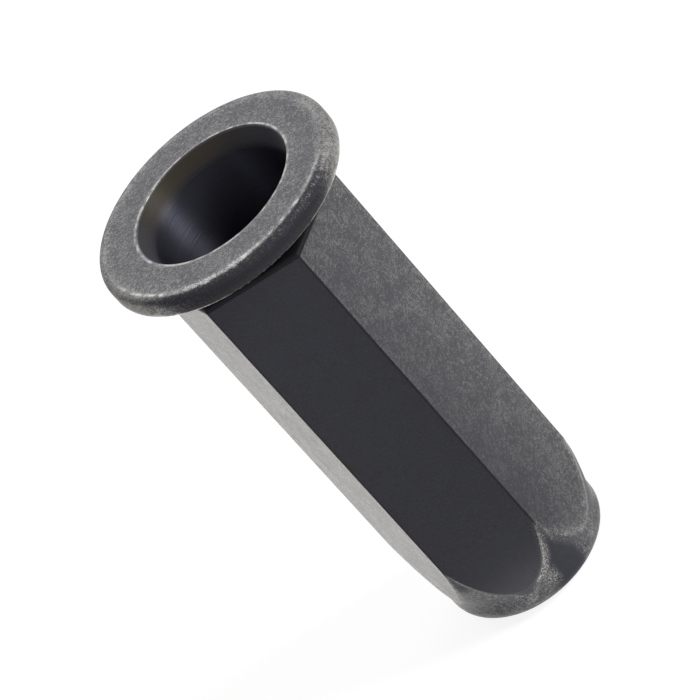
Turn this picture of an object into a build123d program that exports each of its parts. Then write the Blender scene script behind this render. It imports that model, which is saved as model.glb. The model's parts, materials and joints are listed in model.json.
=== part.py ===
"""Closed-end rivet nut: round flange, round neck, hexagonal barrel and a formed nose, with a blind bore.

Millimetres, +Z up. The nut stands on its closed end: the origin is the centre of that flat end,
the axis is +Z, and the bore opens upward in the flange.
"""

from build123d import *
from math import cos, pi, radians, tan
import os

# Bore, from the mouth down. Depths are counted from the flange face.
thread_diameter = 8.0  # M8 x 1.25, as a plain wall at the thread's major diameter
thread_length = 12.5
grip_bore_step = 0.8  # radial step from the thread up to the plain grip bore
grip_bore_step_angle = 45.0  # of the step's cone to the axis
grip_bore_depth = 15.0  # plain stretch that folds when the nut is set
mouth_flare = 0.3  # how much further out the mouth is than the grip bore
mouth_flare_depth = 1.05
mouth_flare_blend_radius = 3.0  # hollow where the flare runs into the bore
mouth_edge_bevel = 0.1  # 45 degrees, where the mouth meets the flange face
drill_point_angle = 118.0  # included angle of the bore's blind end
end_wall = 3.3  # solid metal under the drill point

# Hexagonal barrel.
barrel_wall = 0.7  # between the grip bore and the middle of a flat
barrel_edge_radius = 0.15  # the six long edges
shoulder_edge_radius = 0.25  # upper rim of the hexagon, below the neck

# Neck and flange.
neck_relief = 0.12  # the neck lies this far inside the flats
neck_length = 1.6
neck_root_bevel = 0.15  # 45 degrees, in the corner under the flange
flange_lip = 2.5  # how far the flange reaches past the flats
flange_thickness = 1.35
flange_face_edge_radius = 0.5
flange_back_edge_radius = 0.2

# Nose: a short round land at the closed end and a swell that fades into the hexagon's corners.
nose_land_relief = 0.07  # the land lies this far inside the flats
nose_land_length = 2.0
nose_length = 6.5  # from the closed end to where the corners are whole
nose_swell_radius = 27.0  # of the swell, seen from the side
nose_blend_radius = 3.0  # hollow between the land and the swell
end_edge_radius = 1.2

# Worked out from the sizes above.
thread_radius = thread_diameter / 2
grip_bore_radius = thread_radius + grip_bore_step
mouth_radius = grip_bore_radius + mouth_flare
flat_radius = grip_bore_radius + barrel_wall
corner_radius = flat_radius / cos(pi / 6)
flange_radius = flat_radius + flange_lip
neck_radius = flat_radius - neck_relief
land_radius = flat_radius - nose_land_relief
step_height = grip_bore_step / tan(radians(grip_bore_step_angle))
point_height = thread_radius / tan(radians(drill_point_angle / 2))

thread_bottom_z = end_wall + point_height
thread_top_z = thread_bottom_z + thread_length
grip_bottom_z = thread_top_z + step_height
face_z = grip_bottom_z + grip_bore_depth
seat_z = face_z - flange_thickness
shoulder_z = seat_z - neck_length


def revolved(outline, roundings):
    """Turn a closed outline in (radius, z) about the axis, with some of its corners rounded."""
    section = make_face(Plane.XZ * outline)
    for point, radius in roundings:
        corner = section.vertices().sort_by_distance((point[0], 0, point[1]))[0]
        section = fillet(corner, radius)
    return revolve(section, Axis.Z)


def hexagonal_prism():
    """The barrel's hexagon with its long edges and upper rim rounded, before the nose is formed."""
    prism = extrude(RegularPolygon(flat_radius, 6, major_radius=False), shoulder_z)
    prism = fillet(prism.edges().filter_by(Axis.Z), barrel_edge_radius)
    rim = prism.edges().group_by(Axis.Z)[-1]
    return fillet(rim, shoulder_edge_radius)


def nose_envelope():
    """Everything that lies inside the nose: the land, the swell, and a wide bore above them."""
    clear_radius = corner_radius + flange_lip
    above_face_z = face_z + flange_thickness
    end_corner = (land_radius, 0)
    land_top = (land_radius, nose_land_length)
    swell_top = (corner_radius, nose_length)
    straight = Polyline(
        land_top,
        end_corner,
        (0, 0),
        (0, above_face_z),
        (clear_radius, above_face_z),
        (clear_radius, nose_length),
        swell_top,
    )
    swell = RadiusArc(swell_top, land_top, nose_swell_radius)
    end_rounding = min(end_edge_radius, 0.6 * nose_land_length)
    return revolved(straight + swell, [(end_corner, end_rounding), (land_top, nose_blend_radius)])


def head():
    """The neck and the flange, solid. The neck runs on down inside the hexagon."""
    back_corner = (flange_radius, seat_z)
    face_corner = (flange_radius, face_z)
    outline = [
        (0, grip_bottom_z),
        (neck_radius, grip_bottom_z),
        (neck_radius, seat_z - neck_root_bevel),
        (neck_radius + neck_root_bevel, seat_z),
        back_corner,
        face_corner,
        (0, face_z),
    ]
    face_rounding = min(flange_face_edge_radius, 0.6 * flange_thickness)
    back_rounding = min(flange_back_edge_radius, 0.3 * flange_thickness)
    return revolved(
        Polyline(*outline, close=True),
        [(back_corner, back_rounding), (face_corner, face_rounding)],
    )


def blind_bore():
    """What is bored out: drill point, thread wall, step cone, grip bore and flared mouth."""
    above_face_z = face_z + flange_thickness
    flare_foot = (grip_bore_radius, face_z - mouth_flare_depth)
    outline = [
        (0, end_wall),
        (thread_radius, thread_bottom_z),
        (thread_radius, thread_top_z),
        (grip_bore_radius, grip_bottom_z),
        flare_foot,
        (mouth_radius, face_z - mouth_edge_bevel),
        (mouth_radius + mouth_edge_bevel, face_z),
        (mouth_radius + mouth_edge_bevel, above_face_z),
        (0, above_face_z),
    ]
    return revolved(Polyline(*outline, close=True), [(flare_foot, mouth_flare_blend_radius)])


def rivet_nut():
    """The whole nut, one solid."""
    return (hexagonal_prism() & nose_envelope()) + head() - blind_bore()


os.makedirs("parts", exist_ok=True)
export_step(rivet_nut(), "parts/rivet_nut.step")
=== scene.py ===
"""Dresses the closed-end rivet nut: its worn black finish, its thread and its studio."""

import json
import math
from functools import partial, reduce

import bpy
from mathutils import Matrix, Vector


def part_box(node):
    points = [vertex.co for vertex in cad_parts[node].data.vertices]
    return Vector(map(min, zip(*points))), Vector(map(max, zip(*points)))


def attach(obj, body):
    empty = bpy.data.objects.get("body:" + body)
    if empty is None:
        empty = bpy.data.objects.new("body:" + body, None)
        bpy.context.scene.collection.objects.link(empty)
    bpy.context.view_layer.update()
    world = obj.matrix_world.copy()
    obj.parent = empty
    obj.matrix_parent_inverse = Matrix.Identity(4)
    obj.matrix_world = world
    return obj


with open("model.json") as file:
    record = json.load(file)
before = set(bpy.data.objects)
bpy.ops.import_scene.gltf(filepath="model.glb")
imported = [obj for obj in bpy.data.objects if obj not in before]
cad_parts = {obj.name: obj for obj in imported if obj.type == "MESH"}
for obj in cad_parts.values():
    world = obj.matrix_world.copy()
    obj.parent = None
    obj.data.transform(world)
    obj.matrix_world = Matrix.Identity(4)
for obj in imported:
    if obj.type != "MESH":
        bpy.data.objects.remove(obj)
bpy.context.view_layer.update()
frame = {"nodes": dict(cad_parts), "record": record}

bl_info = {
    "name": "Closed-End Rivet Nut",
    "version": (1, 0, 0),
    "blender": (4, 5, 0),
    "location": "View3D > Sidebar > Rivet Nut",
    "description": "Gives a hexagonal rivet nut its worn black finish, its thread and a studio",
    "category": "Object",
}

NODE = "rivet_nut"
SLOT = "blackened_steel"
MM = 0.001


def mount(name):
    """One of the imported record's mounts."""
    return next(m for m in frame["record"]["mounts"] if m["name"] == name)


def height_of(name):
    """A mount's height above the floor, in metres."""
    return mount(name)["pos_m"][2]


# Places that the frame gives, in metres.
FLANGE_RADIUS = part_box(NODE)[1].x
FACE_Z = height_of("flange_face")
SEAT_Z = height_of("flange_seat")
THREAD_RADIUS = mount("thread")["dims"]["r_mm"] * MM
THREAD_LENGTH = mount("thread")["dims"]["length_mm"] * MM
THREAD_LOW_Z = height_of("thread") - THREAD_LENGTH / 2


def mm(*values, past=0.0):
    """Millimetres past a place, in metres."""
    return tuple(past + value * MM for value in values)


# Sizes of the finish's patterns in grains, with the noise's detail and roughness.
PATTERNS = {
    "fine": (0.6, 2.0, 0.65),
    "mottle": (1.8, 2.0, 0.6),
    "patches": (11.0, 2.0, 0.5),
    "dents": (5.0, 1.0, 0.5),
    "ragged": (1.1, 3.0, 0.75),
    "lumps": (4.0, 3.0, 0.5),
}
JITTER = 0.25 * MM  # how far a ragged border strays
# How much of its own length is left of a pattern's direction that is drawn out.
STREAK_SQUEEZE = 0.04
GROOVE_SQUEEZE = 0.05
SCRATCH_SQUEEZE = 0.012
SCRATCH_BREAK_SIZE = 16  # in widths of a scratch
# Turning axis, turn in degrees, and the levels between which the breaks leave a scratch.
SCRATCH_SETS = (
    ((1.0, 0.3, 0.2), 35.0, (0.52, 0.56)),
    ((0.2, 1.0, -0.3), -62.0, (0.54, 0.58)),
)

# Levels of a pattern between which a mark comes in.
DASH_LEVELS = (0.42, 0.56)
SPARKLE_LEVELS = (0.46, 0.56)
KNOCK_LEVELS = (0.42, 0.58)
SPECK_LEVELS = (0.45, 0.93)
SCRATCH_LEVELS = (0.56, 0.66)
CORNER_LEVELS = (0.7, 0.82)
OIL_LEVELS = (0.25, 0.6)

# Heights between which a zone of the finish comes in or gives out.
MOUTH_HEIGHTS = mm(-1.9, -0.7, past=FACE_Z)
DEEP_HEIGHTS = mm(-6.4, -4.2, past=FACE_Z)
FACE_HEIGHTS = mm(-0.3, -0.05, past=FACE_Z)
UPPER_SIDE_HEIGHTS = mm(0.2, 0.6, past=SEAT_Z)
BACK_HEIGHTS = mm(0.0, 0.7, past=SEAT_Z)
UNDER_SEAT_HEIGHTS = mm(-0.05, 0.0, past=SEAT_Z)
STREAKED_HEIGHTS = mm(-1.0, -0.5, past=SEAT_Z)
SHADED_FLAT_END_HEIGHTS = mm(4.5, 8.0)
TURNED_HEIGHTS = mm(2.6, 3.8)
STRIP_FOOT_HEIGHTS = mm(0.7, 1.6)
NOSE_SKEW = 0.25  # how much higher the turned foot of the nose reaches on one side
HEIGHT_RAGGEDNESS = 2.0  # in strays of a ragged border

# Zones of the flange: the radii and the heights between which each comes in.
FLANGE_ZONES = {
    "on_rim": (mm(-0.4, -0.2, past=FLANGE_RADIUS), mm(0.1, 0.25, past=SEAT_Z)),
    "on_round": (mm(-0.45, -0.3, past=FLANGE_RADIUS), mm(-0.6, -0.4, past=FACE_Z)),
    "on_side": (mm(-0.55, -0.4, past=FLANGE_RADIUS), mm(-0.05, 0.02, past=SEAT_Z)),
    "dented": (mm(-0.5, -0.2, past=FLANGE_RADIUS), mm(-0.1, 0.0, past=SEAT_Z)),
}

# Degrees to either side of a compass direction: where a zone gives out and where it is whole.
KEPT_SPREAD = (62, 38)
RUB_CORE_SPREAD = (32, 12)
STRIP_SPREAD = (14, 10)
STRIP_END_SPREAD = (8, 1)
CORNER_SPREAD = (35, 25)
DARK_FLAT_SPREAD = (28, 20)
FAR_WALL_SPREAD = (70, 35)
RUB_CORE_LEAN = math.radians(10.0)
STRIP_END_LEAN = math.radians(4.0)
HALF_SIDE_ANGLE = math.radians(30)

# Distances between which a line or a zone fades out.
RIDGE_FADE = mm(0.03, 0.2)
BACK_EDGE_FADE = mm(0.04, 0.2)
MOUTH_RING_FADE = mm(0.05, 0.14)
NOSE_EDGE_FADE = mm(-0.05, 0.25)
NOSE_EDGE_REACH = mm(0.22, 0.38)
DARK_EDGE_LINE_FADE = mm(0.04, 0.12)
PAST_DARK_LINE = mm(0.03, 0.08)
WAIST_FADE = mm(-0.08, 0.0)
NECK_FOOT_FADE = mm(-0.12, 0.0)
BEVEL_MIDDLE = -0.1 * MM
SHOULDER_FADE = mm(0.14, 0.24)
SHOULDER_INNER_FADE = mm(-0.2, -0.1)
CORNER_TOP_FADE = mm(0.0, 0.1)
CORNER_FADE = mm(0.0, 0.3)
FACET_TOP_FADE = mm(-0.1, 0.1)
NOSE_TOP_FADE = mm(0.0, 0.4)
STRIP_END_FADE = mm(0.0, 0.8)
OFF_FLAT_DROP = mm(0.04, 0.12)
ON_FLAT_DROP = mm(0.03, 0.08)
PAST_RIDGE_FADE = mm(0.03, 0.12)
NEAR_RIDGE_FADE = mm(0.1, 0.6)
NEAR_MOUTH_FADE = mm(0.1, 0.7)
NEAR_LONG_EDGE_FADE = mm(0.08, 0.5)
NEAR_NOSE_EDGE_FADE = mm(0.1, 0.6)
MOUTH_EDGE_FADE = 0.03 * MM
RIDGE_INSET = 1.1  # from the flange's rim to the ridge, in radii of the rounded edge
RIDGE_MOTTLE = 0.15 * MM
BACK_EDGE_RISE = 0.15 * MM
MOUTH_RING_INSET = 0.1 * MM

# How strong a mark is where the pattern or the zone named has none of it and all of it.
RIDGE_BY_DASHES = (0.2, 1.0)
RIDGE_BY_KNOCKS = (0.35, 1.0)
RIDGE_BY_SIDE = (0.4, 1.0)
RIDGE_SLIMNESS_BY_CORE = (1.0, 0.6)
NOSE_EDGE_BY_STRIP = (0.28, 1.0)
NOSE_EDGE_BY_SPARKLE = (0.15, 1.0)
NOSE_EDGE_SLIMNESS_BY_HEIGHT = (0.42, 0.9)
BACK_EDGE_BY_DASHES = (0.3, 0.9)
MOUTH_RING_BY_DASHES = (0.3, 0.8)
STRIP_END_STRENGTH = 0.55
SPECKS_BY_NOSE = (0.9, 0.4)
SCORES_BY_SPARED = (0.5, 0.0)

# How much each zone is rubbed beyond the rest, or less than it.
RUBBED_MORE = {
    "on_face": 0.02,
    "near_ridge": 0.1,
    "near_mouth": 0.05,
    "on_nose": 0.07,
    "on_facet": -0.3,
    # Painted shade: fewer bare specks at the lower end of the flat rubbed least.
    "dark_end": -0.3,
    "kept_round": -0.08,
    "rubbed_rim": 0.22,
    "on_back": 0.18,
    "near_long_edge": 0.08,
    "near_nose_edge": 0.08,
}
# How much of each zone is spared scratches, darkened, dulled in the bore, and dry of oil.
SPARED = {"on_facet": 1.0, "on_nose": 1.0, "dark_end": 1.0, "kept_round": 0.5}
# Darkened: grime on the flange's rim and side, a darker line along the long edges, and painted
# shade on the neck and shoulder under the flange.
GRIME_AND_SHADE = {
    "edge_film": 0.6,
    "on_shoulder": 0.7,
    "on_rim": 0.15,
    "kept_round": 0.4,
    "kept_side": 0.4,
    "on_neck": 1.0,
}
DULLED = {"in_mouth": 1.0, "deep": 0.4, "far_wall": 0.4}
DRY = {
    "on_facet": 1.0,
    "on_nose": 0.6,
    "on_rim": 0.25,
    "on_neck": 1.0,
    "on_shoulder": 1.0,
    "dull_edge": 1.0,
}
# Painted shade: how far the bore's depths darken toward the dark colour.
DEEP_PAINTED_SHADE = 0.3
# Painted shade: how far the mouth, away from its browner side, darkens toward the dark colour.
MOUTH_PAINTED_SHADE = 0.6
MOUTH_MATT = 0.8

# How much each pattern adds to the specks and to the relief.
MOTTLE_IN_SPECKS = 0.6
PATCHES_IN_SPECKS = 0.2
STREAKS_IN_SPECKS = 0.12
FINE_RELIEF = 0.3
MOTTLE_RELIEF = 0.5
STREAK_RELIEF = 0.5
DENT_RELIEF = 3.0
GROOVE_RELIEF = 3.0

# How rough, metallic and shiny the coat and the bare steel are.
BARREL_ROUGHNESS = (0.28, 0.46)
BORE_ROUGHNESS = (0.38, 0.6)
BARE_ROUGHNESS = 0.3
DULL_ROUGHNESS = 0.6
OIL_ROUGHNESS = 0.25
BORE_METALLIC = (1.0, 0.3)
BORE_ANISOTROPY = 0.9
SPECULAR_BY_MATT = (0.5, 0.15)
NEARLY_UP = {"X": 0.001, "Z": 1.0}  # a tangent that no normal is quite parallel to

# The thread's cutting marks, its worn crest and the turns it takes to run in and out.
THREAD_MARK_SQUEEZE = 0.1
THREAD_MARK_SIZE = 0.6  # in groove pitches
THREAD_CREST_FADE = mm(0.02, 0.11)
THREAD_CREST_WEAR = (0.2, 0.8)
THREAD_METALLIC = (0.3, 1.0)
THREAD_ROUGHNESS = (0.28, 0.42)
THREAD_MARK_RELIEF = 2.0
THREAD_RELIEF = 0.006 * MM
RUN_IN_TURNS = 0.5
RUN_OUT_TURNS = 0.35

# The studio: where the mirrored floor and sky fade, and how near the camera sees.
FOOT_FADE = (0.85, 1.15)  # in radii of the bright floor round the foot
SKY_COSINES = (0.5, 0.85)
WHITE = (1.0, 1.0, 1.0, 1.0)
CLIP_START = 0.01


def number(name, default, description, **kind):
    """A property that holds one number."""
    return bpy.props.FloatProperty(name=name, description=description, default=default, **kind)


length = partial(number, min=0.0, unit="LENGTH", precision=6)
offset = partial(number, unit="LENGTH", precision=6)
share = partial(number, min=0.0, max=1.0, subtype="FACTOR")
power = partial(number, min=0.0, unit="POWER")
lens_length = partial(number, min=1.0, unit="CAMERA")


def angle(name, degrees, description):
    """An angle property, its default in degrees."""
    return number(name, math.radians(degrees), description, unit="ROTATION")


def colour(name, default, description):
    """A colour property, in linear values."""
    return bpy.props.FloatVectorProperty(
        name=name, description=description, default=default, size=3, min=0.0, max=1.0,
        subtype="COLOR",
    )


class RIVETNUT_PG_finish(bpy.types.PropertyGroup):
    """The black finish and where it is worn through."""

    half_flats: length("Half across flats", 5.5 * MM, "From the axis to a flat of the barrel")
    land_radius: length("Nose land radius", 5.43 * MM, "Radius of the closed end's round land")
    land_height: length("Nose land height", 2.0 * MM, "From the closed end to the top of the land")
    nose_length: length("Nose length", 6.5 * MM, "From the closed end to the whole corners")
    swell_radius: length("Swell radius", 27.0 * MM, "Curve of the nose between land and corners")
    shoulder_drop: length("Shoulder drop", 1.6 * MM, "From the flange's seat to the hexagon's rim")
    mouth_edge: length("Mouth edge radius", 5.15 * MM, "Radius of the worn ring round the mouth")
    face_edge_radius: length("Face edge radius", 0.5 * MM, "Rounding round the flange's face")
    grain_size: length("Grain size", 0.14 * MM, "Size of the finish's mottled grain")
    streak_width: length("Streak width", 0.09 * MM, "Width of the drawn streaks along the barrel")
    scratch_width: length("Scratch width", 0.075 * MM, "Width of the scratches from handling")
    relief_height: length("Relief", 0.008 * MM, "Height of the finish's grain")
    groove_pitch: length("Groove pitch", 0.13 * MM, "Spacing of the tool marks in the bore")
    coat: colour("Coat", (0.07, 0.072, 0.092), "Blackened steel on the flats")
    coat_light: colour("Light coat", (0.094, 0.096, 0.116), "The greyer grains of the coat")
    # Dark colour for grime on the flange's rim and side, a darker line along the long edges, and
    # painted shade under the flange, deep in the bore and round the mouth away from its browner
    # side.
    grime_and_shade: colour("Grime", (0.014, 0.013, 0.012), "Dark film left along the edges")
    bore_coat: colour("Bore steel", (0.15, 0.152, 0.2), "Turned steel deep in the bore")
    mouth_coat: colour("Mouth coat", (0.1, 0.088, 0.07), "Brownish steel of the flared mouth")
    rub_azimuth: angle("Rub azimuth", -85.0, "Compass direction of the side most rubbed")
    strip_azimuth: angle("Strip azimuth", -69.0, "Compass direction of the nose's rubbed strip")
    kept_azimuth: angle("Kept azimuth", -76.0, "Middle of the flange's side that keeps its coat")
    dark_flat_azimuth: angle("Dark flat azimuth", -90.0, "Direction of the flat least rubbed")
    corner_azimuth: angle("Corner azimuth", -60.0, "Compass direction of the corner least rubbed")
    stain_azimuth: angle("Stain azimuth", 115.0, "Compass direction of the mouth's browner side")
    bare: colour("Bare steel", (0.6, 0.59, 0.57), "Steel where the coat is worn away")
    bright: colour("Bright steel", (0.88, 0.87, 0.85), "Steel polished by rubbing at the edges")
    oil: share("Oil", 0.8, "How much of the surface an oil film covers")


class RIVETNUT_PG_thread(bpy.types.PropertyGroup):
    """The thread's ridge, cut right-handed."""

    pitch: length("Pitch", 1.25 * MM, "From one turn to the next")
    minor_radius: length("Minor radius", 3.34 * MM, "From the axis to the ridge's crest")
    crest_width: length("Crest width", 0.3 * MM, "Width of the ridge's flat crest")
    root_width: length("Root width", 1.09 * MM, "Width of the ridge where it leaves the wall")
    bedded: length("Bedded", 0.04 * MM, "How far the ridge's foot reaches into the wall")
    run_out: length("Run-out", 1.0 * MM, "Plain wall left above the drill point")
    steps_per_turn: bpy.props.IntProperty(
        name="Steps per turn", description="Segments in one turn", default=72, min=12
    )


class RIVETNUT_PG_stage(bpy.types.PropertyGroup):
    """The camera, the lights and the floor."""

    view_azimuth: angle("View azimuth", -72.22, "Compass direction of the camera from the nut")
    view_elevation: angle("View elevation", 33.43, "Height of the camera above the horizon")
    view_roll: angle("View roll", 41.68, "How far the camera is turned about its own axis")
    view_distance: length("View distance", 0.2938, "From the camera to the point it looks at")
    aim_height: length("Aim height", 19.77 * MM, "Height of the point on the axis looked at")
    lens: lens_length("Lens", 259.1, "Focal length, in millimetres")
    floor_size: length("Floor size", 4.0, "Side of the square floor")
    floor_colour: colour("Floor", (0.4, 0.4, 0.4), "The floor as it lights the nut")
    floor_glow: share("Floor glow", 0.84, "How white the floor looks where no light reaches it")
    mirror_bright: share("Bright side", 1.0, "Brightness mirrored from behind and above")
    mirror_sky: share("Sky side", 0.75, "Brightness mirrored from the sky behind")
    mirror_dim: share("Dim side", 0.05, "Brightness mirrored from in front")
    bright_azimuth: angle("Bright azimuth", 101.0, "Compass direction of the bright side")
    bright_elevation: angle("Bright elevation", 35.0, "Height of the bright side's middle")
    mirror_tint: colour("Floor tint", (1.0, 0.98, 0.95), "Tint of the floor where it is mirrored")
    dim_from: offset("Dim from", -9.0 * MM, "How far in front the floor is dim")
    mirror_near: share("Near side", 0.72, "Brightness mirrored from the floor round the foot")
    near_foot: length("Near the foot", 10.0 * MM, "How far round the axis the floor is bright")
    bright_from: offset("Bright from", 4.5 * MM, "How far behind the floor is bright")
    key_power: power("Key power", 0.85, "Power of the main lamp")
    key_size: length("Key size", 0.15, "Side of the main lamp")
    key_azimuth: angle("Key azimuth", -7.0, "Compass direction of the main lamp")
    key_elevation: angle("Key elevation", 33.0, "Height of the main lamp")
    key_distance: length("Key distance", 0.4, "From the nut to the main lamp")
    fill_power: power("Fill power", 1.3, "Power of the soft lamp in front")
    fill_size: length("Fill size", 0.5, "Side of the soft lamp")
    fill_azimuth: angle("Fill azimuth", -110.0, "Compass direction of the soft lamp")
    fill_elevation: angle("Fill elevation", 15.0, "Height of the soft lamp")
    fill_distance: length("Fill distance", 0.6, "From the nut to the soft lamp")


class Value:
    """A node's output. Arithmetic on it adds nodes."""

    def __init__(self, graph, socket):
        self.graph = graph
        self.socket = socket

    def __add__(self, other):
        return self.graph.math("ADD", self, other)

    def __sub__(self, other):
        return self.graph.math("SUBTRACT", self, other)

    def __rsub__(self, other):
        return self.graph.math("SUBTRACT", other, self)

    def __mul__(self, other):
        return self.graph.math("MULTIPLY", self, other)

    def __truediv__(self, other):
        return self.graph.math("DIVIDE", self, other)

    def __rtruediv__(self, other):
        return self.graph.math("DIVIDE", other, self)

    def __abs__(self):
        return self.graph.math("ABSOLUTE", self)


class Graph:
    """Adds nodes to one tree. An input is a number, a tuple, a Value or another node's output."""

    def __init__(self, tree):
        self.tree = tree
        tree.nodes.clear()

    def add(self, kind, values=None, **settings):
        """A new node with its settings made and its inputs filled, by name or index."""
        node = self.tree.nodes.new(kind)
        for name, setting in settings.items():
            setattr(node, name, setting)
        for key, value in (values or {}).items():
            self.feed(node.inputs[key], value)
        return node

    def feed(self, socket, value):
        """Link an output to a socket, or set the socket's own value."""
        if isinstance(value, Value):
            value = value.socket
        if isinstance(value, bpy.types.NodeSocket):
            self.tree.links.new(value, socket)
        else:
            socket.default_value = value

    def value(self, kind, values, output=0, **settings):
        """One output of a new node, to reckon with."""
        return Value(self, self.add(kind, values, **settings).outputs[output])

    def math(self, operation, *values):
        """One step of arithmetic."""
        return self.value("ShaderNodeMath", dict(enumerate(values)), operation=operation)

    def root(self, value):
        """A square root."""
        return self.math("SQRT", value)

    def smallest(self, *values):
        """The smallest of several values."""
        return reduce(partial(self.math, "MINIMUM"), values)

    def largest(self, *values):
        """The largest of several values."""
        return reduce(partial(self.math, "MAXIMUM"), values)

    def rise(self, value, start, end):
        """0 before start and 1 after end, with a smooth step between them."""
        values = {"Value": value, "From Min": start, "From Max": end}
        return self.value("ShaderNodeMapRange", values, interpolation_type="SMOOTHSTEP")

    def fall(self, value, start, end):
        """1 before start and 0 after end, with a smooth step between them."""
        return 1.0 - self.rise(value, start, end)

    def spread(self, value, low, high):
        """A value from 0 to 1 set out between low and high."""
        return self.value("ShaderNodeMapRange", {"Value": value, "To Min": low, "To Max": high})

    def noise(self, place, size, detail=2.0, roughness=0.5):
        """Cloudy noise from 0 to 1 whose lumps have about the given size."""
        values = {"Vector": place, "Scale": 1.0 / size, "Detail": detail, "Roughness": roughness}
        return self.value("ShaderNodeTexNoise", values, "Fac")

    def stretched(self, place, *factors):
        """A place with each of its parts multiplied."""
        values = {0: place, 1: factors}
        return self.add("ShaderNodeVectorMath", values, operation="MULTIPLY").outputs[0]

    def along(self, place, toward):
        """How far a place lies toward a unit vector."""
        values = {0: place, 1: tuple(toward)}
        return self.value("ShaderNodeVectorMath", values, "Value", operation="DOT_PRODUCT")

    def blend(self, share_of_b, a, b):
        """A colour between a and b."""
        values = {0: share_of_b, 6: a, 7: b}
        return self.add("ShaderNodeMix", values, data_type="RGBA").outputs[2]

    def between(self, share_of_b, a, b):
        """A number between a and b."""
        return self.value("ShaderNodeMix", {0: share_of_b, 2: a, 3: b}, data_type="FLOAT")

    def bump(self, height, distance):
        """The normal of a surface with relief."""
        values = {"Height": height, "Strength": 1.0, "Distance": distance}
        return self.add("ShaderNodeBump", values).outputs["Normal"]

    def mixed(self, share_of_b, a, b):
        """A shader between a and b."""
        return self.add("ShaderNodeMixShader", {0: share_of_b, 1: a, 2: b}).outputs[0]


def direction(azimuth, elevation):
    """The unit vector toward a compass direction and height."""
    flat = math.cos(elevation)
    return Vector((flat * math.cos(azimuth), flat * math.sin(azimuth), math.sin(elevation)))


def facing(toward_viewer, roll=0.0):
    """A rotation whose own -Z looks back along the given vector, rolled about it."""
    turn = (-toward_viewer).to_track_quat("-Z", "Y").to_matrix().to_4x4()
    return turn @ Matrix.Rotation(roll, 4, "Z")


def opaque(rgb):
    """A colour property as a socket's colour."""
    return (*rgb, 1.0)


def arc_middle(low, high, radius):
    """The middle of an arc that swells outward between two points of a section."""
    chord = high - low
    inward = Vector((-chord.y, chord.x)).normalized()
    return (low + high) / 2 + inward * math.sqrt(radius**2 - (chord.length / 2) ** 2)


class Places(Graph):
    """Works out where a point of the surface lies, from its Object coordinates."""

    def __init__(self, tree, finish):
        super().__init__(tree)
        self.finish = finish
        self.place = self.add("ShaderNodeTexCoord").outputs["Object"]
        parts = self.add("ShaderNodeSeparateXYZ", {0: self.place}).outputs
        self.x, self.y, self.z = (Value(self, parts[name]) for name in "XYZ")
        self.radius = self.root(self.x * self.x + self.y * self.y)

    def toward(self, azimuth):
        """How far a point lies from the axis in one compass direction."""
        side = direction(azimuth, 0.0)
        return self.x * side.x + self.y * side.y

    def within(self, azimuth, none_at, full_at):
        """1 within some degrees of a compass direction, fading to 0 at more degrees."""
        cosine = self.toward(azimuth) / self.radius
        return self.rise(cosine, math.cos(math.radians(none_at)), math.cos(math.radians(full_at)))

    def from_ring(self, radius, z):
        """Distance from a ring about the axis, as seen in a section."""
        across = self.radius - radius
        along = self.z - z
        return self.root(across * across + along * along)


class Hexagon(Places):
    """Adds distances from the barrel's flats and edges."""

    def __init__(self, tree, finish):
        super().__init__(tree, finish)
        lean_x = self.x * math.cos(HALF_SIDE_ANGLE)
        lean_y = self.y * math.sin(HALF_SIDE_ANGLE)
        across = (abs(self.y), abs(lean_x + lean_y), abs(lean_x - lean_y))
        self.widest = self.largest(*across)
        other_two = across[0] + across[1] + across[2] - self.widest
        self.next_widest = other_two - self.smallest(*across)
        self.below_flat = finish.half_flats - self.widest
        gap = finish.half_flats - self.next_widest
        self.from_long_edge = gap / math.sin(2 * HALF_SIDE_ANGLE)
        self.from_nose_edge = self.measure_nose_edge()

    def measure_nose_edge(self):
        """Distance from the curved line where a flat runs out into the turned nose."""
        finish = self.finish
        low = Vector((finish.land_radius, finish.land_height))
        high = Vector((finish.half_flats / math.cos(HALF_SIDE_ANGLE), finish.nose_length))
        middle = arc_middle(low, high, finish.swell_radius)
        climb = self.z - middle.y
        reach = self.root(finish.swell_radius**2 - climb * climb)
        slope = climb / reach
        upright = finish.half_flats / self.radius
        steepness = self.root(slope * slope + (1.0 - upright * upright))
        gap = reach + middle.x - self.radius
        return self.largest(gap / steepness, self.below_flat)


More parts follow.
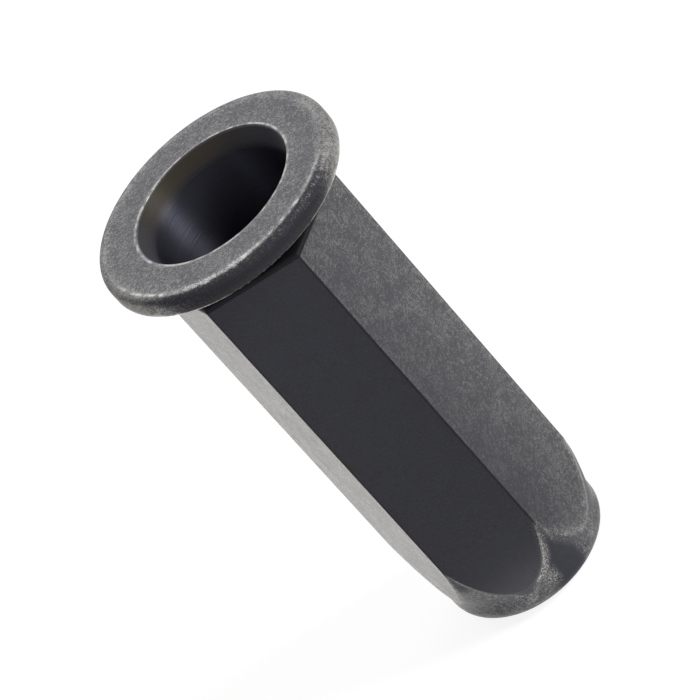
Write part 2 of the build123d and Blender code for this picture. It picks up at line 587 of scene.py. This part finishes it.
class Zones(Hexagon):
    """Adds random patterns, and zones worn or coloured alike: 1 within each and 0 outside."""

    def __init__(self, tree, finish):
        super().__init__(tree, finish)
        self.find_patterns()
        self.find_bore()
        self.find_flange()
        self.find_neck_and_barrel()
        self.find_flats()
        self.find_nose()

    def find_patterns(self):
        """Grains and lumps all over, streaks along the barrel and grooves round the bore."""
        finish = self.finish
        for name, (grains, detail, roughness) in PATTERNS.items():
            pattern = self.noise(self.place, grains * finish.grain_size, detail, roughness)
            setattr(self, name, pattern)
        lengthwise = self.stretched(self.place, 1.0, 1.0, STREAK_SQUEEZE)
        around = self.stretched(self.place, GROOVE_SQUEEZE, GROOVE_SQUEEZE, 1.0)
        self.streaks = self.noise(lengthwise, finish.streak_width, detail=3.0, roughness=0.6)
        self.grooves = self.noise(around, finish.groove_pitch, detail=2.0, roughness=0.6)
        self.jitter = self.spread(self.ragged, -JITTER, JITTER)
        self.dashes = self.rise(self.lumps, *DASH_LEVELS)
        self.sparkle = self.rise(self.fine, *SPARKLE_LEVELS)
        self.knocked = self.rise(self.patches, *KNOCK_LEVELS)

    def find_bore(self):
        """The bore's wall, its flared mouth, its depths and its browner side."""
        finish = self.finish
        wall = finish.mouth_edge - MOUTH_EDGE_FADE
        self.inside = self.fall(self.radius, wall, finish.mouth_edge)
        self.outside = 1.0 - self.inside
        self.in_mouth = self.inside * self.rise(self.z, *MOUTH_HEIGHTS)
        self.deep = self.fall(self.z, *DEEP_HEIGHTS)
        self.stained = self.rise(self.toward(finish.stain_azimuth), 0.0, finish.mouth_edge)
        self.far_wall = self.within(finish.stain_azimuth, *FAR_WALL_SPREAD)

    def find_flange(self):
        """The flange's face, its rounded edge and its side, rubbed but for one stretch."""
        kept = self.within(self.finish.kept_azimuth, *KEPT_SPREAD)
        for name, (radii, heights) in FLANGE_ZONES.items():
            zone = self.rise(self.radius, *radii) * self.rise(self.z, *heights)
            setattr(self, name, zone)
        self.on_face = self.outside * self.rise(self.z, *FACE_HEIGHTS)
        self.on_back = self.on_side * self.fall(self.z, *BACK_HEIGHTS)
        self.kept_round = self.on_round * kept
        self.kept_side = self.on_side * kept * self.rise(self.z, *UPPER_SIDE_HEIGHTS)
        self.rubbed_rim = self.on_side * (1.0 - kept)
        self.dull_edge = self.largest(self.kept_round, self.rubbed_rim)

    def find_neck_and_barrel(self):
        """The neck, the hexagon's upper rim and the barrel below it."""
        above_rim = self.z - (SEAT_Z - self.finish.shoulder_drop)
        from_bevel = abs(above_rim - BEVEL_MIDDLE)
        past_waist = self.radius - self.finish.half_flats
        self.past_waist = self.rise(past_waist, *WAIST_FADE)
        on_foot = self.rise(above_rim, *NECK_FOOT_FADE)
        under_seat = self.fall(self.z, *UNDER_SEAT_HEIGHTS)
        # Painted shade: the neck under the flange is darkened and kept from wear and shine.
        self.on_neck = (1.0 - self.past_waist) * on_foot * under_seat * self.outside
        near_rim = self.fall(from_bevel, *SHOULDER_FADE)
        # Painted shade: the hexagon's upper rim under the flange is darkened, kept from wear and
        # dulled.
        self.on_shoulder = near_rim * self.rise(past_waist, *SHOULDER_INNER_FADE) * self.outside
        below_rim = self.fall(above_rim, *CORNER_TOP_FADE)
        self.on_corners = below_rim * self.rise(past_waist, *CORNER_FADE)
        self.below_seat = self.fall(self.z, *STREAKED_HEIGHTS)

    def find_flats(self):
        """What lies off the flats, and the flat that is rubbed least."""
        self.off_flats = self.rise(self.below_flat, *OFF_FLAT_DROP) * self.outside
        on_flat = self.fall(self.below_flat, *ON_FLAT_DROP)
        dark_flat = self.within(self.finish.dark_flat_azimuth, *DARK_FLAT_SPREAD) * on_flat
        self.off_dark_flat = 1.0 - dark_flat
        # Painted shade: fewer bare specks and no scratches at the lower end of this flat, so that
        # it stays dark.
        self.dark_end = dark_flat * self.fall(self.z, *SHADED_FLAT_END_HEIGHTS)

    def find_nose(self):
        """The turned foot of the nose, and the smoother facets left between the flats above it."""
        above_nose = self.z - self.finish.nose_length
        skewed = self.z + self.x * NOSE_SKEW + self.jitter * HEIGHT_RAGGEDNESS
        above_turned = self.rise(skewed, *TURNED_HEIGHTS)
        cornered = self.rise(self.next_widest / self.widest, *CORNER_LEVELS)
        dark_corner = cornered * self.within(self.finish.corner_azimuth, *CORNER_SPREAD)
        facets = self.largest(above_turned, dark_corner) * self.off_flats
        self.on_facet = facets * self.fall(above_nose, *FACET_TOP_FADE)
        self.on_nose = (1.0 - above_turned) * self.off_flats * (1.0 - self.on_facet)
        self.below_corners = self.fall(above_nose, *NOSE_TOP_FADE)


class Finish(Zones):
    """Adds the worn black finish: where the coat is rubbed off, its colour and its relief."""

    def __init__(self, tree, finish):
        super().__init__(tree, finish)
        self.ridge_radius = FLANGE_RADIUS - RIDGE_INSET * finish.face_edge_radius
        self.from_ridge = self.from_ring(self.ridge_radius, FACE_Z)
        self.find_surrounds()
        self.edges = self.worn_edges()
        # A darker line along the barrel's long edges, kept from wear.
        self.edge_film = self.fall(self.from_long_edge, *DARK_EDGE_LINE_FADE) * self.on_corners

    def weighed(self, weights):
        """The zones that a table names, each times its weight."""
        return [getattr(self, name) * weight for name, weight in weights.items()]

    def ragged_line(self, distance, fade, raggedness):
        """1 along a line and 0 past its fade, with a ragged border."""
        return self.fall(distance + self.jitter * raggedness, *fade)

    def worn_ridge(self):
        """Bright dashes round the flange's face, densest on the side most rubbed."""
        azimuth = self.finish.rub_azimuth
        core = self.within(azimuth - RUB_CORE_LEAN, *RUB_CORE_SPREAD)
        slimmed = self.from_ridge * self.spread(core, *RIDGE_SLIMNESS_BY_CORE)
        mottled = slimmed + self.spread(self.mottle, -RIDGE_MOTTLE, RIDGE_MOTTLE)
        ridge = self.ragged_line(mottled, RIDGE_FADE, raggedness=0.5)
        rubbed_side = self.rise(self.toward(azimuth), 0.0, self.finish.half_flats)
        by_dashes = self.spread(self.dashes, *RIDGE_BY_DASHES)
        by_knocks = self.spread(self.knocked, *RIDGE_BY_KNOCKS)
        by_side = self.spread(rubbed_side, *RIDGE_BY_SIDE)
        return self.largest(ridge * core * self.sparkle, ridge * by_dashes * by_knocks * by_side)

    def worn_nose_edge(self):
        """The arcs where the flats run out, worn most in one strip."""
        finish = self.finish
        climbed = self.rise(self.z, finish.land_height, finish.nose_length)
        slimmed = self.from_nose_edge * self.spread(climbed, *NOSE_EDGE_SLIMNESS_BY_HEIGHT)
        line = self.ragged_line(slimmed, NOSE_EDGE_FADE, raggedness=1.0)
        in_strip = self.within(finish.strip_azimuth, *STRIP_SPREAD)
        by_strip = self.spread(in_strip, *NOSE_EDGE_BY_STRIP)
        by_sparkle = self.spread(self.sparkle, *NOSE_EDGE_BY_SPARKLE)
        reached = self.fall(self.below_flat, *NOSE_EDGE_REACH)
        place = self.off_dark_flat * self.below_corners * self.past_waist * self.outside
        return line * place * by_strip * reached * by_sparkle

    def worn_strip_end(self):
        """The foot of the rubbed strip, on the nose's land."""
        height = self.z + self.jitter * HEIGHT_RAGGEDNESS
        strip = self.within(self.finish.strip_azimuth - STRIP_END_LEAN, *STRIP_END_SPREAD)
        above_foot = self.rise(height, *STRIP_FOOT_HEIGHTS)
        on_land = self.fall(self.z - self.finish.land_height, *STRIP_END_FADE)
        place = strip * above_foot * on_land * self.off_flats
        return place * self.sparkle * STRIP_END_STRENGTH

    def worn_edges(self):
        """Edges and lines where handling has worn the coat away."""
        from_back = self.from_ring(FLANGE_RADIUS, SEAT_Z + BACK_EDGE_RISE)
        back_edge = self.ragged_line(from_back, BACK_EDGE_FADE, raggedness=0.4)
        from_mouth = self.from_ring(self.finish.mouth_edge + MOUTH_RING_INSET, FACE_Z)
        mouth_ring = self.ragged_line(from_mouth, MOUTH_RING_FADE, raggedness=0.3)
        return self.largest(
            self.worn_ridge(),
            self.worn_nose_edge(),
            self.worn_strip_end(),
            back_edge * self.spread(self.dashes, *BACK_EDGE_BY_DASHES),
            mouth_ring * self.spread(self.dashes, *MOUTH_RING_BY_DASHES),
        )

    def find_surrounds(self):
        """The strips beside the worn edges, which are rubbed a little too."""
        past_ridge = self.fall(self.radius - self.ridge_radius, *PAST_RIDGE_FADE)
        by_ridge = self.fall(self.from_ridge, *NEAR_RIDGE_FADE)
        self.near_ridge = self.on_face * past_ridge * by_ridge
        from_mouth = self.from_ring(self.finish.mouth_edge, FACE_Z)
        self.near_mouth = self.on_face * self.fall(from_mouth, *NEAR_MOUTH_FADE)
        by_long_edge = self.fall(self.from_long_edge, *NEAR_LONG_EDGE_FADE)
        past_dark_line = self.rise(self.from_long_edge, *PAST_DARK_LINE)
        self.near_long_edge = by_long_edge * past_dark_line * self.on_corners
        by_nose_edge = self.fall(self.from_nose_edge, *NEAR_NOSE_EDGE_FADE)
        place = self.below_corners * self.off_dark_flat * self.outside
        self.near_nose_edge = by_nose_edge * place

    def specks(self):
        """Specks of bare steel where tumbling has rubbed the coat thin."""
        clouds = (self.mottle - 0.5) * MOTTLE_IN_SPECKS + (self.patches - 0.5) * PATCHES_IN_SPECKS
        streaks = (self.streaks - 0.5) * self.below_seat * STREAKS_IN_SPECKS
        level = sum(self.weighed(RUBBED_MORE), self.fine + clouds + streaks)
        return self.rise(level, *SPECK_LEVELS) * self.spread(self.on_nose, *SPECKS_BY_NOSE)

    def scratches(self, axis, degrees, kept_levels):
        """Thin scratches along one slanting direction, broken into short ones."""
        width = self.finish.scratch_width
        values = {"Vector": self.place, "Axis": axis, "Angle": math.radians(degrees)}
        turned = self.add("ShaderNodeVectorRotate", values, rotation_type="AXIS_ANGLE").outputs[0]
        squeezed = self.stretched(turned, 1.0, 1.0, SCRATCH_SQUEEZE)
        lines = self.noise(squeezed, width, detail=1.0)
        breaks = self.noise(turned, SCRATCH_BREAK_SIZE * width, detail=1.0)
        return self.rise(lines, *SCRATCH_LEVELS) * self.rise(breaks, *kept_levels)

    def scores(self):
        """Scratches from handling, which leave the smoother zones alone."""
        marks = self.largest(*(self.scratches(*given) for given in SCRATCH_SETS))
        return marks * self.spread(self.largest(*self.weighed(SPARED)), *SCORES_BY_SPARED)

    def wear(self):
        """Where the coat is off: 1 is bare steel."""
        marks = self.largest(self.specks(), self.edges, self.scores())
        # No wear where the darker edge line runs, nor on the neck and shoulder, which are darkened
        # as painted shade.
        darkened = self.largest(self.edge_film, self.on_neck, self.on_shoulder)
        return self.smallest(marks, 1.0) * (1.0 - darkened) * self.outside

    def coat(self):
        """The coat's colour: bluish black, dark steel in the bore and browner in the mouth, with
        painted shade under the flange, deep in the bore and round the rest of the mouth.
        """
        finish = self.finish
        shaded_mouth_rest = self.in_mouth * (1.0 - self.stained)
        layers = (
            (self.largest(*self.weighed(GRIME_AND_SHADE)), finish.grime_and_shade),
            (self.inside, finish.bore_coat),
            # Painted shade deep in the bore.
            (self.inside * self.deep * DEEP_PAINTED_SHADE, finish.grime_and_shade),
            # Painted shade round the mouth away from its browner side.
            (shaded_mouth_rest * MOUTH_PAINTED_SHADE, finish.grime_and_shade),
            (self.in_mouth * self.stained, finish.mouth_coat),
        )
        coat = self.blend(self.mottle, opaque(finish.coat), opaque(finish.coat_light))
        for cover, layer in layers:
            coat = self.blend(cover, coat, opaque(layer))
        return coat

    def relief(self):
        """Grain all over, streaks along the flats, tool marks in the bore and a dented rim."""
        grain = self.fine * FINE_RELIEF + self.mottle * MOTTLE_RELIEF
        outside = (grain + self.streaks * STREAK_RELIEF) * self.outside
        dents = self.dented * self.dents * DENT_RELIEF
        grooves = self.grooves * self.inside * GROOVE_RELIEF
        return self.bump(dents + outside + grooves, self.finish.relief_height)

    def coated_shader(self, normal):
        """Blackened steel: oiled outside, and brushed round the bore."""
        on_barrel = self.spread(self.streaks, *BARREL_ROUGHNESS)
        in_bore = self.spread(self.largest(self.deep, self.in_mouth), *BORE_ROUGHNESS)
        roughness = self.between(self.inside, on_barrel, in_bore)
        dulled = self.largest(*self.weighed(DULLED))
        dry = self.largest(*self.weighed(DRY))
        matt = self.largest(dry, self.in_mouth * MOUTH_MATT)
        oily = self.outside * (1.0 - dry) * self.finish.oil
        values = {
            "Base Color": self.coat(),
            "Metallic": self.inside * self.spread(dulled, *BORE_METALLIC),
            "Roughness": self.between(self.dull_edge, roughness, DULL_ROUGHNESS),
            "Anisotropic": self.inside * BORE_ANISOTROPY,
            "Tangent": self.add("ShaderNodeCombineXYZ", NEARLY_UP).outputs[0],
            "Coat Weight": oily * self.rise(self.streaks, *OIL_LEVELS),
            "Coat Roughness": OIL_ROUGHNESS,
            "Specular IOR Level": self.spread(matt, *SPECULAR_BY_MATT),
            "Normal": normal,
        }
        return self.add("ShaderNodeBsdfPrincipled", values).outputs["BSDF"]

    def bare_shader(self, normal):
        """Bare steel, brightest along the worn edges."""
        finish = self.finish
        values = {
            "Base Color": self.blend(self.edges, opaque(finish.bare), opaque(finish.bright)),
            "Metallic": 1.0,
            "Roughness": self.spread(self.dull_edge, BARE_ROUGHNESS, DULL_ROUGHNESS),
            "Normal": normal,
        }
        return self.add("ShaderNodeBsdfPrincipled", values).outputs["BSDF"]


def finish_nut(tree, finish):
    """The nut's worn black finish: coated steel, and bare steel where it is worn."""
    nut = Finish(tree, finish)
    normal = nut.relief()
    shader = nut.mixed(nut.wear(), nut.coated_shader(normal), nut.bare_shader(normal))
    nut.add("ShaderNodeOutputMaterial", {"Surface": shader})


def finish_thread(tree, finish, minor_radius):
    """The thread's finish: the bore's dark coat with cutting marks along the ridge."""
    ridge = Places(tree, finish)
    around = ridge.stretched(ridge.place, THREAD_MARK_SQUEEZE, THREAD_MARK_SQUEEZE, 1.0)
    grain = ridge.noise(ridge.place, finish.grain_size, detail=3.0)
    marks = ridge.noise(around, THREAD_MARK_SIZE * finish.groove_pitch, detail=2.0)
    crest = ridge.fall(ridge.radius - minor_radius, *THREAD_CREST_FADE)
    worn = crest * ridge.spread(grain, *THREAD_CREST_WEAR)
    values = {
        "Base Color": ridge.blend(worn, opaque(finish.bore_coat), opaque(finish.bare)),
        "Metallic": ridge.spread(worn, *THREAD_METALLIC),
        "Roughness": ridge.spread(marks, *THREAD_ROUGHNESS),
        "Normal": ridge.bump(grain + marks * THREAD_MARK_RELIEF, THREAD_RELIEF),
    }
    shader = ridge.add("ShaderNodeBsdfPrincipled", values)
    ridge.add("ShaderNodeOutputMaterial", {"Surface": shader.outputs["BSDF"]})


def new_material(name, build, *settings):
    """A node material filled in by one of the finish functions."""
    material = bpy.data.materials.new(name)
    material.use_nodes = True
    build(material.node_tree, *settings)
    return material


def link_object(name, data):
    """A new object at the origin, in the scene."""
    made = bpy.data.objects.new(name, data)
    bpy.context.scene.collection.objects.link(made)
    return made


class RIVETNUT_OT_finish(bpy.types.Operator):
    """Gives the nut its worn black finish"""

    bl_idname = "rivet_nut.finish"
    bl_label = "Finish the nut"

    def execute(self, context):
        finish = context.scene.rivet_nut_finish
        material = new_material(SLOT, finish_nut, finish)
        nut = frame["nodes"][NODE]
        if not nut.material_slots:
            raise RuntimeError("the nut has no material slot")
        for slot in nut.material_slots:
            slot.material = material
        return {"FINISHED"}


def moved(graph, geometry, how, amount):
    """Geometry after a translation or a rotation."""
    return graph.add("GeometryNodeTransform", {0: geometry, how: amount}).outputs[0]


def tapered(graph, turns):
    """The ridge's size along its length: it runs in from nothing and out to nothing."""
    along = graph.value("GeometryNodeSplineParameter", {}, "Factor")
    start = graph.rise(along * turns, 0.0, RUN_IN_TURNS)
    end = graph.rise((1.0 - along) * turns, 0.0, RUN_OUT_TURNS)
    return start * end


def thread_profile(graph, given):
    """The ridge's section, its foot set a little way into the wall."""
    values = {
        "Height": given["Depth"] + given["Bedded"],
        "Bottom Width": given["Root Width"],
        "Top Width": given["Crest Width"],
        "Offset": 0.0,
    }
    section = graph.add("GeometryNodeCurvePrimitiveQuadrilateral", values, mode="TRAPEZOID")
    middle = (given["Depth"] - given["Bedded"]) * 0.5
    inward = graph.add("ShaderNodeCombineXYZ", {"Y": middle}).outputs[0]
    bedded = moved(graph, section.outputs[0], "Translation", inward)
    return moved(graph, bedded, "Rotation", (0.0, 0.0, math.radians(90)))


def thread_tree(inputs, steps_per_turn, material):
    """A Geometry Nodes tree that winds the thread's ridge round the bore's wall."""
    tree = bpy.data.node_groups.new("thread_ridge", "GeometryNodeTree")
    for name in inputs:
        tree.interface.new_socket(name, in_out="INPUT", socket_type="NodeSocketFloat")
    tree.interface.new_socket("Geometry", in_out="OUTPUT", socket_type="NodeSocketGeometry")
    graph = Graph(tree)
    sockets = graph.add("NodeGroupInput").outputs
    given = {name: Value(graph, sockets[name]) for name in inputs}

    values = {
        "Reverse": True,
        "Resolution": steps_per_turn,
        "Rotations": given["Turns"],
        "Start Radius": given["Wall Radius"],
        "End Radius": given["Wall Radius"],
        "Height": given["Pitch"] * given["Turns"],
    }
    spiral = graph.add("GeometryNodeCurveSpiral", values).outputs[0]
    low = graph.add("ShaderNodeCombineXYZ", {"Z": given["Low Z"]}).outputs[0]
    raised = moved(graph, spiral, "Translation", low)
    upright = graph.add("GeometryNodeSetCurveNormal", {0: raised}, mode="Z_UP").outputs[0]
    values = {0: upright, "Radius": tapered(graph, given["Turns"])}
    path = graph.add("GeometryNodeSetCurveRadius", values).outputs[0]

    values = {0: path, 1: thread_profile(graph, given), "Fill Caps": True}
    swept = graph.add("GeometryNodeCurveToMesh", values).outputs[0]
    flat = graph.add("GeometryNodeSetShadeSmooth", {0: swept, "Shade Smooth": False}).outputs[0]
    real = graph.add("GeometryNodeRealizeInstances", {0: flat}).outputs[0]
    dressed = graph.add("GeometryNodeSetMaterial", {0: real, "Material": material}).outputs[0]
    graph.add("NodeGroupOutput", {0: dressed})
    return tree


def set_modifier_input(modifier, name, value):
    """Sets a Geometry Nodes input by its socket's identifier."""
    sockets = modifier.node_group.interface.items_tree
    socket = next(s for s in sockets if s.name == name and s.in_out == "INPUT")
    modifier[socket.identifier] = value


def plain_mesh(maker, name):
    """The evaluated mesh of an object, as a mesh of its own."""
    evaluated = maker.evaluated_get(bpy.context.evaluated_depsgraph_get())
    mesh = bpy.data.meshes.new_from_object(evaluated)
    mesh.name = name
    return mesh


class RIVETNUT_OT_thread(bpy.types.Operator):
    """Winds the thread's ridge round the lower wall of the bore"""

    bl_idname = "rivet_nut.thread"
    bl_label = "Cut the thread"

    def execute(self, context):
        thread = context.scene.rivet_nut_thread
        finish = context.scene.rivet_nut_finish
        material = new_material("threaded_steel", finish_thread, finish, thread.minor_radius)
        length_wound = THREAD_LENGTH - thread.run_out - thread.root_width
        inputs = {
            "Pitch": thread.pitch,
            "Turns": length_wound / thread.pitch,
            "Wall Radius": THREAD_RADIUS,
            "Depth": THREAD_RADIUS - thread.minor_radius,
            "Bedded": thread.bedded,
            "Crest Width": thread.crest_width,
            "Root Width": thread.root_width,
            "Low Z": THREAD_LOW_Z + thread.run_out + thread.root_width / 2,
        }
        ridge = link_object("thread", bpy.data.meshes.new("thread"))
        modifier = ridge.modifiers.new("ridge", "NODES")
        modifier.node_group = thread_tree(inputs, thread.steps_per_turn, material)
        for name, value in inputs.items():
            set_modifier_input(modifier, name, value)
        mesh = plain_mesh(ridge, "thread")
        ridge.modifiers.clear()
        ridge.data = mesh
        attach(ridge, "root")
        return {"FINISHED"}


def seen_directly(graph):
    """The light path's outputs, and 1 where the camera itself sees the surface."""
    path = graph.add("ShaderNodeLightPath").outputs
    return path, graph.largest(path["Is Camera Ray"], path["Is Transmission Ray"])


def shade_floor(tree, stage):
    """A white floor with the nut's shadow. Metal mirrors it bright behind and dim in front."""
    graph = Graph(tree)
    path, seen = seen_directly(graph)
    place = graph.add("ShaderNodeTexCoord").outputs["Object"]
    depth = graph.along(place, direction(stage.bright_azimuth, 0.0))
    behind = graph.rise(depth, stage.dim_from, stage.bright_from)
    out = graph.value("ShaderNodeVectorMath", {0: place}, "Value", operation="LENGTH")
    near = graph.fall(out, *(fade * stage.near_foot for fade in FOOT_FADE))
    mirrored = graph.largest(
        graph.between(behind, stage.mirror_dim, stage.mirror_bright), near * stage.mirror_near
    )
    diffuse = graph.add("ShaderNodeBsdfDiffuse", {"Color": opaque(stage.floor_colour)}).outputs[0]
    white = graph.add("ShaderNodeEmission", {"Strength": stage.floor_glow}).outputs[0]
    bright = graph.add(
        "ShaderNodeEmission", {"Color": opaque(stage.mirror_tint), "Strength": mirrored}
    ).outputs[0]
    shown = graph.add("ShaderNodeAddShader", {0: diffuse, 1: white}).outputs[0]
    unseen = graph.mixed(path["Is Glossy Ray"], diffuse, bright)
    graph.add("ShaderNodeOutputMaterial", {"Surface": graph.mixed(seen, unseen, shown)})


def shade_world(tree, stage):
    """White to the camera. To the nut it is bright behind and dim in front and overhead."""
    graph = Graph(tree)
    seen = seen_directly(graph)[1]
    toward = graph.add("ShaderNodeTexCoord").outputs["Generated"]
    nearness = graph.along(toward, direction(stage.bright_azimuth, stage.bright_elevation))
    behind = graph.rise(nearness, *SKY_COSINES)
    mirrored = graph.between(behind, stage.mirror_dim, stage.mirror_sky)
    values = {"Color": WHITE, "Strength": graph.between(seen, mirrored, 1.0)}
    background = graph.add("ShaderNodeBackground", values)
    graph.add("ShaderNodeOutputWorld", {"Surface": background.outputs[0]})


def add_floor(stage):
    """The pale floor."""
    half = stage.floor_size / 2
    corners = [(-half, -half, 0), (half, -half, 0), (half, half, 0), (-half, half, 0)]
    mesh = bpy.data.meshes.new("floor")
    mesh.from_pydata(corners, [], [(0, 1, 2, 3)])
    mesh.materials.append(new_material("pale_floor", shade_floor, stage))
    link_object("floor", mesh)


def add_world(stage):
    """The surroundings."""
    world = bpy.data.worlds.new("studio")
    world.use_nodes = True
    shade_world(world.node_tree, stage)
    bpy.context.scene.world = world


def add_lamp(stage, name, aim):
    """A square lamp that faces the aim, set up by the stage's settings of the same name."""
    data = bpy.data.lights.new(name, "AREA")
    data.energy = getattr(stage, f"{name}_power")
    data.size = getattr(stage, f"{name}_size")
    lamp = link_object(name, data)
    toward = direction(getattr(stage, f"{name}_azimuth"), getattr(stage, f"{name}_elevation"))
    place = aim + getattr(stage, f"{name}_distance") * toward
    lamp.matrix_world = Matrix.Translation(place) @ facing(toward)
    return lamp


def add_camera(stage, aim):
    """The camera, rolled so that the standing nut appears at a slant."""
    data = bpy.data.cameras.new("camera")
    data.lens = stage.lens
    data.clip_start = CLIP_START
    camera = link_object("camera", data)
    toward = direction(stage.view_azimuth, stage.view_elevation)
    place = aim + stage.view_distance * toward
    camera.matrix_world = Matrix.Translation(place) @ facing(toward, -stage.view_roll)
    bpy.context.scene.camera = camera


class RIVETNUT_OT_stage(bpy.types.Operator):
    """Sets up the floor, the surroundings, the lamps and the camera"""

    bl_idname = "rivet_nut.stage"
    bl_label = "Set the stage"

    def execute(self, context):
        stage = context.scene.rivet_nut_stage
        aim = Vector((0.0, 0.0, stage.aim_height))
        add_floor(stage)
        add_world(stage)
        add_lamp(stage, "key", aim)
        add_lamp(stage, "fill", aim).visible_glossy = False
        add_camera(stage, aim)
        context.scene.view_settings.view_transform = "Standard"
        return {"FINISHED"}


class RIVETNUT_PT_panel(bpy.types.Panel):
    """Lists the nut's operators and their settings"""

    bl_label = "Rivet Nut"
    bl_idname = "RIVETNUT_PT_panel"
    bl_space_type = "VIEW_3D"
    bl_region_type = "UI"
    bl_category = "Rivet Nut"

    def draw(self, context):
        for group, (_, operator) in GROUPS.items():
            settings = getattr(context.scene, group)
            box = self.layout.box()
            for name in settings.__annotations__:
                box.prop(settings, name)
            box.operator(operator)


# Each group of settings, with its class and the operator that uses it.
GROUPS = {
    "rivet_nut_finish": (RIVETNUT_PG_finish, "rivet_nut.finish"),
    "rivet_nut_thread": (RIVETNUT_PG_thread, "rivet_nut.thread"),
    "rivet_nut_stage": (RIVETNUT_PG_stage, "rivet_nut.stage"),
}

CLASSES = (
    *(group for group, _ in GROUPS.values()),
    RIVETNUT_OT_finish,
    RIVETNUT_OT_thread,
    RIVETNUT_OT_stage,
    RIVETNUT_PT_panel,
)


def register():
    """Adds the classes and the scene's settings."""
    for made in CLASSES:
        bpy.utils.register_class(made)
    for name, (group, _) in GROUPS.items():
        setattr(bpy.types.Scene, name, bpy.props.PointerProperty(type=group))


def unregister():
    """Takes the scene's settings and the classes away again."""
    for name in GROUPS:
        delattr(bpy.types.Scene, name)
    for made in reversed(CLASSES):
        bpy.utils.unregister_class(made)


def main():
    """Dresses the nut and sets the stage."""
    register()
    bpy.ops.rivet_nut.finish()
    bpy.ops.rivet_nut.thread()
    bpy.ops.rivet_nut.stage()


if __name__ == "__main__":
    main()
